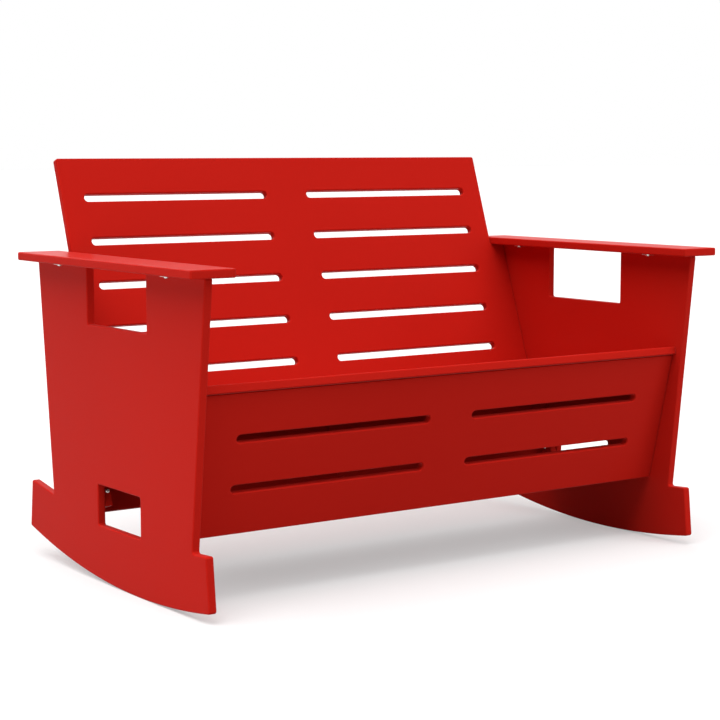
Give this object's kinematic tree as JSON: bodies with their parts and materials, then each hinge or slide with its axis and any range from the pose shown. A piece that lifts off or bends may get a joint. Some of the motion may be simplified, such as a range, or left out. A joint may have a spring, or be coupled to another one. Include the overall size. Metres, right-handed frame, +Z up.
{
  "type": "rocking bench",
  "caption": "Wide outdoor rocking bench of flat plastic sheet: slotted reclined back, sloping seat, slotted front apron, flat arms and side panels with curved rocker feet.",
  "frame": {"origin": "on the floor, under the middle of the whole bench's width and depth, with the arms level", "axes": "+X across the bench to the right arm as seen from the front, +Y from front to rear, +Z up"},
  "size_m": [1.315, 0.767, 0.8484],
  "materials": {
    "sheet_plastic": "solid red polyethylene sheet, coloured right through, fine satin texture, routed round edges",
    "stainless_strap": "flat stainless steel strap, brushed along its length",
    "stainless_screw": "plain stainless steel screws, slightly polished heads"
  },
  "bodies": {
    "root": {"left_side": "sheet_plastic", "right_side": "sheet_plastic", "left_arm": "sheet_plastic", "right_arm": "sheet_plastic", "back_panel": "sheet_plastic", "front_apron": "sheet_plastic", "seat_panel": "sheet_plastic", "center_rib": "sheet_plastic", "left_apron_cleat": "sheet_plastic", "left_back_cleat": "sheet_plastic", "left_seat_cleat": "sheet_plastic", "right_apron_cleat": "sheet_plastic", "right_back_cleat": "sheet_plastic", "right_seat_cleat": "sheet_plastic", "rib_apron_cleat": "sheet_plastic", "rib_back_cleat": "sheet_plastic", "rib_seat_cleat": "sheet_plastic", "left_front_strap": "stainless_strap", "left_rear_strap": "stainless_strap", "right_front_strap": "stainless_strap", "right_rear_strap": "stainless_strap", "left_side_screws": "stainless_screw", "right_side_screws": "stainless_screw", "rib_screws": "stainless_screw", "apron_screws": "stainless_screw", "back_screws": "stainless_screw", "seat_screws": "stainless_screw", "left_arm_screws": "stainless_screw", "left_strap_screws": "stainless_screw", "right_arm_screws": "stainless_screw", "right_strap_screws": "stainless_screw"}
  },
  "joints": []
}
